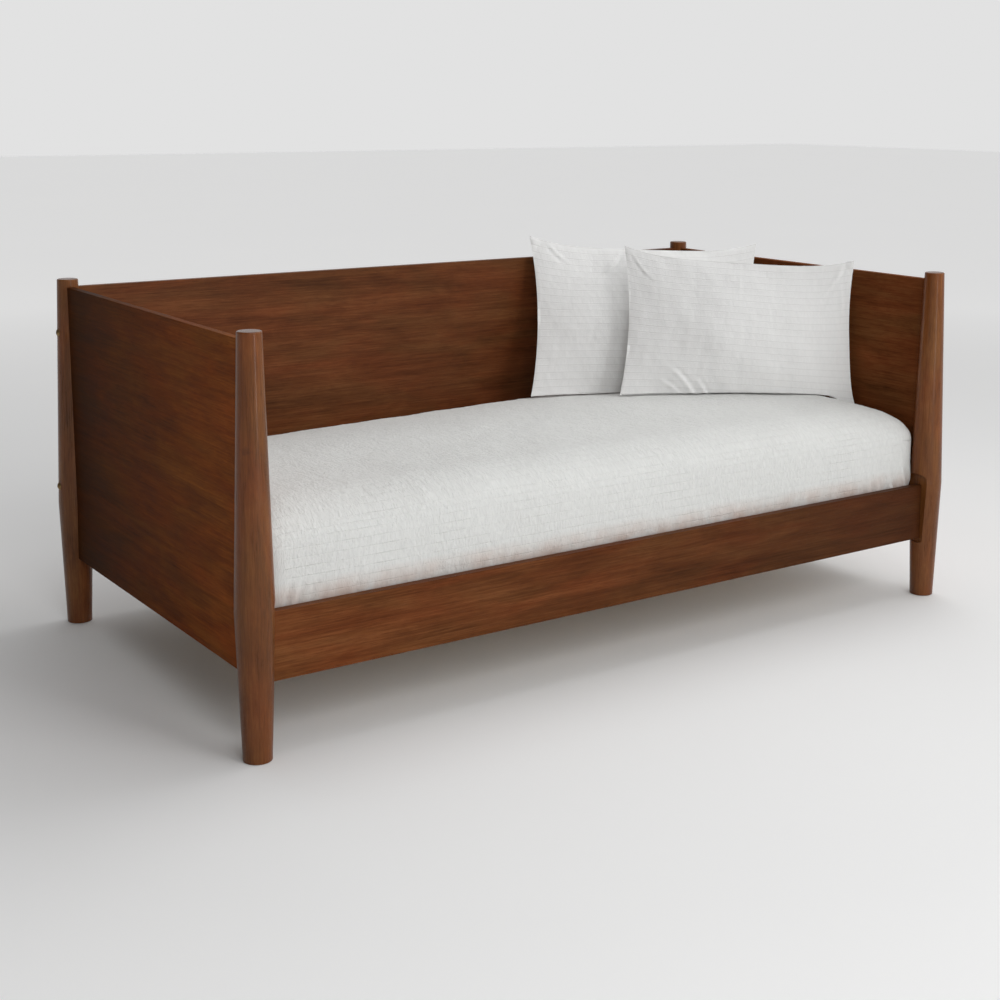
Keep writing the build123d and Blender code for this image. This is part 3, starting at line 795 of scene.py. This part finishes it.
# ---------- pillows ----------
def sewn_case(columns, rows):
    """Faces of two grids that share their rim, and the index arrays of front and back points."""
    front = np.arange((columns + 1) * (rows + 1)).reshape(rows + 1, columns + 1)
    back = front.copy()
    count = (columns - 1) * (rows - 1)
    back[1:-1, 1:-1] = front.size + np.arange(count).reshape(rows - 1, columns - 1)
    faces = np.stack([quads(front), quads(back, turned=True)], 1).reshape(-1, 4)
    return front, back, [tuple(face) for face in faces.tolist()]


def joined(front, back, front_index, back_index):
    """One list of points, or of values at points, from a case's front and back grids."""
    size = front.shape[-1]
    together = np.zeros((back_index.max() + 1, size))
    together[back_index.ravel()] = back.reshape(-1, size)
    together[front_index.ravel()] = front.reshape(-1, size)
    return together


def rim_of(index):
    """The indices round the rim of a grid."""
    return np.unique(np.concatenate([index[0], index[-1], index[:, 0], index[:, -1]]))


def seam_arc(places, power):
    """Share of a seam's pull at places from -0.5 to 0.5: a high power leaves short ears."""
    return 1.0 - np.abs(2.0 * places) ** power


def fill_case(seed, pulls):
    """Blows up a flat sewn case as cloth, and returns its front and back grids of points.

    The case stands in its own frame: X along its length, Y up its face, Z out of its front.
    Its seam is held on the arcs that the filling pulls it to: left, right, lower and upper.
    """
    left, right, lower, upper = pulls
    front, back, faces = sewn_case(CASE_COLUMNS, CASE_ROWS)
    us = np.linspace(-0.5, 0.5, CASE_COLUMNS + 1)
    vs = np.linspace(-0.5, 0.5, CASE_ROWS + 1)
    u, v = np.meshgrid(us, vs)
    low_x = -CASE_LENGTH / 2 + left * seam_arc(v, SHORT_SEAM_POWER)
    right_power = np.where(v < 0, RIGHT_SEAM_LOWER_POWER, SHORT_SEAM_POWER)
    high_x = CASE_LENGTH / 2 - right * seam_arc(v, right_power)
    low_y = -CASE_HEIGHT / 2 + lower * seam_arc(u, LONG_SEAM_POWER)
    high_y = CASE_HEIGHT / 2 - upper * seam_arc(u, LONG_SEAM_POWER)
    start_x = low_x + (high_x - low_x) * (u + 0.5)
    start_y = low_y + (high_y - low_y) * (v + 0.5)
    start_z = 0.04 * np.cos(pi * u) * np.cos(pi * v)
    start_z = start_z * (1 + 0.10 * rumple(u, v, seed, 0.25, 0.7))
    held = np.stack([start_x, start_y, start_z], 2)
    cut = np.stack([u * CASE_LENGTH, v * CASE_HEIGHT, 0.02 * start_z], 2)
    mirror = np.array([1, 1, -1])
    points = joined(held, held * mirror, front, back)
    flat = joined(cut, cut * mirror, front, back)
    case = mesh_piece("case_in_work", points, faces, bpy.data.materials.new("case_in_work"))
    seam = case.vertex_groups.new(name="seam")
    seam.add([int(index) for index in rim_of(front)], 1.0, "REPLACE")
    case.shape_key_add(name="Basis")
    cut_shape = case.shape_key_add(name="cut")
    cut_shape.data.foreach_set("co", flat.ravel())
    cut_shape.value = 0.0
    cloth = case.modifiers.new("cloth", "CLOTH")
    cloth.settings.vertex_group_mass = "seam"
    cloth.settings.rest_shape_key = cut_shape
    for name, value in CASE_CLOTH.items():
        setattr(cloth.settings, name, value)
    cloth.settings.effector_weights.gravity = 0.0
    cloth.point_cache.frame_start = 1
    cloth.point_cache.frame_end = CASE_FRAMES
    scene = bpy.context.scene
    for number in range(1, CASE_FRAMES + 1):
        scene.frame_set(number)
    graph = bpy.context.evaluated_depsgraph_get()
    mesh = case.evaluated_get(graph).to_mesh()
    filled = np.zeros(len(mesh.vertices) * 3)
    mesh.vertices.foreach_get("co", filled)
    filled = filled.reshape(-1, 3)
    case.modifiers.clear()
    bpy.data.objects.remove(case)
    scene.frame_set(1)
    return filled[front], filled[back]


def soften(grid):
    """A grid of points with its narrow ripples averaged out, and its rim kept."""
    grid = grid.copy()
    for _ in range(SOFTENING):
        middle = grid[1:-1, 1:-1]
        around = grid[:-2, 1:-1] + grid[2:, 1:-1] + grid[1:-1, :-2] + grid[1:-1, 2:]
        grid[1:-1, 1:-1] = 0.5 * middle + 0.125 * around
    return grid


def calm_seam(grid):
    """Evens out the small pleats that the filling presses into the cloth next to the seam."""
    for lines in (grid, grid.transpose(1, 0, 2)):
        for line in (1, 2, 3, -4, -3, -2):
            for _ in range(SEAM_CALMING):
                beside = lines[line, :-2] + lines[line, 2:]
                lines[line, 1:-1] = 0.5 * lines[line, 1:-1] + 0.25 * beside
    return grid


def resample(grid, us, vs):
    """A grid of points read at new places along its columns and rows, by cubic interpolation."""

    def read(values, places):
        count = values.shape[0] - 1
        at = np.clip(places, 0, 1) * count
        base = np.minimum(at.astype(int), count - 1)
        t = (at - base)[:, None, None]
        p0 = values[np.maximum(base - 1, 0)]
        p1 = values[base]
        p2 = values[base + 1]
        p3 = values[np.minimum(base + 2, count)]
        return 0.5 * (
            2 * p1
            + (p2 - p0) * t
            + (2 * p0 - 5 * p1 + 4 * p2 - p3) * t * t
            + (3 * p1 - p0 - 3 * p2 + p3) * t * t * t
        )

    rows = read(grid, vs)
    return read(rows.transpose(1, 0, 2), us).transpose(1, 0, 2)


def tuck_rows():
    """Places of the rows up the face, close together at each tuck."""
    places = []
    count = int(CASE_HEIGHT / TUCK_PITCH)
    first = (CASE_HEIGHT - count * TUCK_PITCH) / 2
    for tuck in range(count + 1):
        middle = first + tuck * TUCK_PITCH
        places += [middle + offset for offset in (-0.0017, 0.0, 0.0017, 0.0065, 0.013)]
    places = np.array([0.0, *[p for p in places if 0.003 < p < CASE_HEIGHT - 0.003], CASE_HEIGHT])
    return places / CASE_HEIGHT, first


def grid_normals(grid, flip):
    """Unit normals of a grid of points."""
    along_u = np.gradient(grid, axis=1)
    along_v = np.gradient(grid, axis=0)
    normal = np.cross(along_u, along_v) * flip
    return normal / np.maximum(np.linalg.norm(normal, axis=2), 1e-9)[..., None]


def creases(along_row, across, lines):
    """Height of folds in the cloth: each has its middle, direction, length, width and depth."""
    total = 0.0 * (along_row + across)
    for place_u, place_v, degrees, length, width, depth in lines:
        turn = radians(degrees)
        du, dv = along_row - place_u, across - place_v
        lengthwise = du * cos(turn) + dv * sin(turn)
        bend = 0.25 * lengthwise**2 / length
        crosswise = dv * cos(turn) - du * sin(turn) - bend
        body = np.exp(-((lengthwise / (0.5 * length)) ** 4))
        ridge = np.exp(-((crosswise / width) ** 2))
        valley = np.exp(-(((crosswise + 1.6 * width) / width) ** 2))
        total = total + depth * body * (ridge - 0.8 * valley)
    return total


class Pillow:
    """One filled pillow, and where the four corners of its case stand.

    Each corner is its distance from the right side panel, its distance from the back panel and
    its height above the mattress: lower left, lower right, upper left, upper right. The pulls
    are how far each seam has pulled in: left, right, lower, upper.
    """

    def __init__(self, hand, seed, pulls, corners, folds):
        self.hand = hand
        self.seed = seed
        self.pulls = pulls
        self.folds = folds
        panel_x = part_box("side_panel_right")[0].x
        panel_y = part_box("back_panel")[0].y
        self.corners = [
            np.array([panel_x - from_side, panel_y - from_back, cover_high.z + above])
            for from_side, from_back, above in corners
        ]

    def stand(self, grid, lower_left, upper_right):
        """Points of the case's own frame, carried to the quadrilateral between the corners."""
        span = upper_right - lower_left
        s = ((grid[..., 0] - lower_left[0]) / span[0])[..., None]
        t = ((grid[..., 1] - lower_left[1]) / span[1])[..., None]
        low_left, low_right, top_left, top_right = self.corners
        low = low_left + (low_right - low_left) * s
        top = top_left + (top_right - top_left) * s
        along_row = (low_right - low_left) * (1 - t) + (top_right - top_left) * t
        normal = np.cross(along_row, top - low)
        normal /= np.linalg.norm(normal, axis=-1)[..., None]
        slump = 1.0 + SLUMP * np.cos(pi * np.clip(t, 0, 1))
        return low + (top - low) * t + normal * grid[..., 2:3] * slump


def stand_pillow(pillow):
    """Grids of one pillow in the row frame, with its tucks, puckers, folds and pressed crease."""
    front, back = fill_case(pillow.seed, pillow.pulls)
    us = np.linspace(0, 1, SHAM_COLUMNS)
    vs, first = tuck_rows()
    front = resample(calm_seam(soften(front)), us, vs)
    back = resample(calm_seam(soften(back)), us, vs)
    off_rim = np.zeros(front.shape[:2])
    off_rim[1:-1, 1:-1] = 1.0

    # a small ridge at each tuck, and two lines close together where the case was pressed flat
    along_row = us[None, :] * CASE_LENGTH
    across = vs[:, None] * CASE_HEIGHT
    phase = np.abs(((across - first) / TUCK_PITCH + 0.5) % 1.0 - 0.5) * TUCK_PITCH
    ridge = np.exp(-((phase / 0.0014) ** 2)) * 0.0003
    puckers = 0.00035 * rumple(along_row, across * 0.6, pillow.seed + 5, 0.012, 0.04, 50)
    soft = 0.0014 * rumple(along_row, across, pillow.seed + 9, 0.06, 0.2, 40)
    from_fold = np.abs(np.abs(along_row - CASE_LENGTH / 2) - CREASE_HALF_GAP)
    crease = np.exp(-((from_fold / 0.0030) ** 2)) * 0.0007 * smooth(across, 0.09, 0.36)
    relief = (ridge + puckers + soft + crease) * off_rim
    folds = creases(along_row, across, pillow.folds) * off_rim
    front = front + grid_normals(front, 1.0) * (relief + folds)[..., None]
    back = back + grid_normals(back, -1.0) * relief[..., None]
    lower_left, upper_right = front[0, 0], front[-1, -1]
    grids = [pillow.stand(grid, lower_left, upper_right) for grid in (front, back)]
    return grids, us, vs, first


def settle(points, clearance):
    """Keeps a pillow's points a clearance above the bed, and in front of the panels."""
    panel_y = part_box("back_panel")[0].y - PANEL_CLEARANCE
    panel_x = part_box("side_panel_right")[0].x - PANEL_CLEARANCE
    points = points.copy()
    floor = upper_surface(points[..., 0], points[..., 1]) + clearance
    points[..., 2] += soft_push(floor - points[..., 2])
    below_top = points[..., 2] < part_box("back_panel")[1].z + 0.01
    points[..., 1] -= np.where(below_top, soft_push(points[..., 1] - panel_y), 0.0)
    points[..., 0] -= np.where(below_top, soft_push(points[..., 0] - panel_x), 0.0)
    return points


def soft_push(depth, give=0.006):
    """How far to move a point that is depth inside: all of it, blended in just outside."""
    near = np.clip((depth + give) / (2 * give), 0.0, 1.0)
    return np.where(depth > give, depth, give * near * near)


def clear_of(points, surface, gap):
    """A pillow's points moved off the surface of the pillow behind.

    Points inside the surface, or nearly, move out to the gap. Then points that are still
    under it or behind it move out in front.
    """
    other_points, other_faces = surface
    tree = BVHTree.FromPolygons([tuple(p) for p in other_points], other_faces)
    moved = points.copy()
    flat = moved.reshape(-1, 3)
    for index, point in enumerate(flat):
        place, normal, _, _ = tree.find_nearest(Vector(point), NEAR_REACH)
        if place is not None and (Vector(point) - place).dot(normal) < gap:
            flat[index] = place + normal * gap
    for index, point in enumerate(flat):
        start = Vector(point)
        above = tree.ray_cast(start, Vector((0, 0, 1)), UNDER_REACH)[0]
        if above is not None:
            start = above + Vector((0, 0, UNDER_PROBE))
        way_out = last_hit_in_front(tree, start)
        if way_out is not None:
            flat[index, 1] = min(point[1], way_out.y - gap)
    return moved


def last_hit_in_front(tree, start):
    """Where a line from start towards the front leaves the mesh for good, or None."""
    last = None
    while True:
        place = tree.ray_cast(start, Vector((0, -1, 0)), FRONT_REACH)[0]
        if place is None:
            return last
        last = place
        start = place + Vector((0, -0.0005, 0))


def insert_grids(front, back):
    """Front and back grids of the insert: a little inside the sham, with a rim of their own."""
    us = np.linspace(INSERT_MARGIN, 1 - INSERT_MARGIN, front.shape[1])
    vs = np.linspace(INSERT_MARGIN, 1 - INSERT_MARGIN, front.shape[0])
    front, back = resample(front, us, vs), resample(back, us, vs)
    middle = 0.5 * (front + back)
    half = 0.5 * np.linalg.norm(front - back, axis=2)[..., None]
    share = half / (half + INSERT_GAP)
    share[[0, -1], :] = 0.0
    share[:, [0, -1]] = 0.0
    return middle + (front - middle) * share, middle + (back - middle) * share


def make_pillow_pieces(pillow, behind, sham_material, fill_material):
    """The sham and the insert of one pillow, in front of a surface behind it, if any.

    Returns them and the sham's outer surface.
    """
    grids, us, vs, first = stand_pillow(pillow)
    grids = [settle(grid, BED_CLEARANCE) for grid in grids]
    if behind is not None:
        grids = [clear_of(grid, behind, PILLOW_CLEARANCE) for grid in grids]
        grids = [settle(grid, BED_CLEARANCE) for grid in grids]
    front, back = grids
    front_index, back_index, faces = sewn_case(len(us) - 1, len(vs) - 1)
    outer = joined(front, back, front_index, back_index)
    count = len(outer)
    flat_u, flat_v = np.meshgrid(us * CASE_LENGTH, vs * CASE_HEIGHT)
    flat = np.stack([flat_u, flat_v - first, 0 * flat_u], 2)
    cloth = joined(flat, flat, front_index, back_index)

    # the sham's inner layer, closer to the outer one where the case is thin
    half = 0.5 * np.linalg.norm(front - back, axis=2)[..., None]
    room = joined(half, half, front_index, back_index)
    thickness = np.clip(0.4 * room, 0.3 * SHAM_THICKNESS, SHAM_THICKNESS)
    inner = outer - vertex_normals(outer, faces) * thickness
    inner_faces = [tuple(index + count for index in reversed(face)) for face in faces]
    layers = np.concatenate([outer, inner])
    cloth_twice = np.concatenate([cloth, cloth])
    name = f"sham_{pillow.hand}"
    sham = mesh_piece(name, layers, faces + inner_faces, sham_material, cloth_twice)
    rim = rim_of(front_index)
    sharpen(sham, np.concatenate([rim, rim + count]))

    grids = insert_grids(front, back)
    if behind is not None:
        grids = [clear_of(grid, behind, INSERT_CLEARANCE) for grid in grids]
    grids = [settle(grid, INSERT_CLEARANCE) for grid in grids]
    filling = joined(*grids, front_index, back_index)
    insert = mesh_piece(f"insert_{pillow.hand}", filling, faces, fill_material, cloth)
    body = f"pillow_{pillow.hand}"
    stand_in(sham, body, f"pillow_sham_{pillow.hand}")
    stand_in(insert, body, f"pillow_insert_{pillow.hand}")
    return sham, insert, (outer, faces)


# ---------- stage ----------
def make_floor():
    """A pale studio floor."""
    bpy.ops.mesh.primitive_plane_add(size=60.0)
    floor = bpy.context.object
    floor.name = "studio_floor"
    mat = Shader("studio_floor", Specular_IOR_Level=0.2)
    tone = mat.noise(mat.place(), 0.8, 2.0)
    colour = mat.mix(tone, (0.86, 0.86, 0.86), (0.89, 0.89, 0.885))
    away = mat.node("ShaderNodeVectorMath", {0: mat.place()}, operation="LENGTH")
    glow = mat.remap(away.outputs["Value"], FLOOR_GLOW_START, FLOOR_GLOW_END, 0.0, FLOOR_GLOW)
    mat.feed(mat.surface.inputs["Base Color"], colour)
    mat.feed(mat.surface.inputs["Roughness"], 0.9)
    mat.feed(mat.surface.inputs["Emission Color"], rgba((1.0, 1.0, 1.0)))
    mat.feed(mat.surface.inputs["Emission Strength"], glow)
    floor.data.materials.append(mat.material)


def area_light(name, place, target, size, power):
    data = bpy.data.lights.new(name, "AREA")
    data.shape = "RECTANGLE"
    data.size, data.size_y = size
    data.energy = power
    light = bpy.data.objects.new(name, data)
    bpy.context.scene.collection.objects.link(light)
    light.location = place
    light.rotation_euler = (Vector(target) - Vector(place)).to_track_quat("-Z", "Y").to_euler()


def make_lights():
    """A white studio: two large keys in front, a strip for the legs' highlight and a top light.

    The surroundings are darker to the left.
    """
    world = bpy.data.worlds.new("studio")
    bpy.context.scene.world = world
    world.use_nodes = True
    studio = Nodes(world.node_tree)
    background = studio.tree.nodes["Background"]
    direction = studio.node("ShaderNodeTexCoord").outputs["Generated"]
    shade = studio.remap(studio.axis(direction, 0), -0.55, 0.25, STUDIO_LEFT, STUDIO_RIGHT)
    studio.feed(background.inputs[0], (1.0, 1.0, 1.0, 1.0))
    studio.feed(background.inputs[1], shade)
    area_light("key_left", (-1.8, -4.7, 3.2), (0.0, 0.0, 0.5), (1.8, 2.6), 48.0)
    area_light("key_right", (1.1, -4.5, 3.0), (0.2, 0.0, 0.5), (2.4, 2.4), 47.0)
    area_light("strip", (0.30, -4.1, 0.95), (-0.969, -0.516, 0.6), (0.38, 1.7), 13.0)
    area_light("top", (1.3, 0.1, 2.9), (0.5, 0.0, 0.4), (2.4, 2.0), 24.0)


def make_camera():
    """A camera at the height of a seated eye, turned to see the front and the left end."""
    data = bpy.data.cameras.new("camera")
    data.sensor_width = 36.0
    data.lens = CAMERA_LENS
    data.shift_x, data.shift_y = CAMERA_SHIFT
    camera = bpy.data.objects.new("camera", data)
    bpy.context.scene.collection.objects.link(camera)
    yaw, pitch, roll = (radians(turn) for turn in CAMERA_TURN)
    forward = Vector((sin(yaw) * cos(pitch), cos(yaw) * cos(pitch), -sin(pitch)))
    level = Vector((cos(yaw), -sin(yaw), 0.0))
    upright = level.cross(forward)
    right = level * cos(roll) + upright * sin(roll)
    up = upright * cos(roll) - level * sin(roll)
    turned = Matrix((right, up, -forward)).transposed()
    camera.matrix_world = Matrix.Translation(CAMERA_PLACE) @ turned.to_4x4()
    bpy.context.scene.camera = camera
    bpy.context.scene.view_settings.view_transform = "Standard"


# ---------- the scene ----------
make_camera()
sham_cloth = tucked_cotton()
pillow_cloth = ticking("pillow_ticking", (0.55, 0.62, 0.72), 0.012)
rear = Pillow(
    "rear",
    3,
    (0.022, 0.022, 0.01, 0.03),
    ((0.675, 0.172, -0.028), (0.135, 0.537, -0.036), (0.569, 0.007, 0.411), (0.025, 0.383, 0.393)),
    (
        (0.075, 0.42, -42.0, 0.07, 0.005, 0.0022),
        (0.235, 0.4, 52.0, 0.09, 0.006, 0.0022),
    ),
)
front = Pillow(
    "front",
    8,
    (0.022, 0.02, 0.01, 0.03),
    ((0.535, 0.392, -0.024), (0.01, 0.792, -0.046), (0.42, 0.264, 0.396), (0.015, 0.763, 0.376)),
    (
        (0.185, 0.055, 128.0, 0.12, 0.006, 0.004),
        (0.235, 0.04, 118.0, 0.08, 0.005, 0.003),
        (0.15, 0.04, 140.0, 0.08, 0.005, 0.003),
        (0.045, 0.405, -50.0, 0.08, 0.0045, 0.0024),
        (0.59, 0.045, 52.0, 0.09, 0.0055, 0.0034),
        (0.625, 0.075, 66.0, 0.1, 0.005, 0.003),
        (0.612, 0.405, 62.0, 0.1, 0.006, 0.0026),
        (0.636, 0.29, 88.0, 0.22, 0.0045, 0.002),
        (0.622, 0.22, 84.0, 0.16, 0.005, 0.0018),
    ),
)
rear_sham, rear_insert, rear_surface = make_pillow_pieces(rear, None, sham_cloth, pillow_cloth)
front_sham, front_insert, _ = make_pillow_pieces(front, rear_surface, sham_cloth, pillow_cloth)

coverlet = make_coverlet()
stand_in(coverlet, "mattress", "coverlet")
core = make_mattress()
stand_in(core, "mattress", "mattress")

paint_frame()
make_floor()
make_lights()
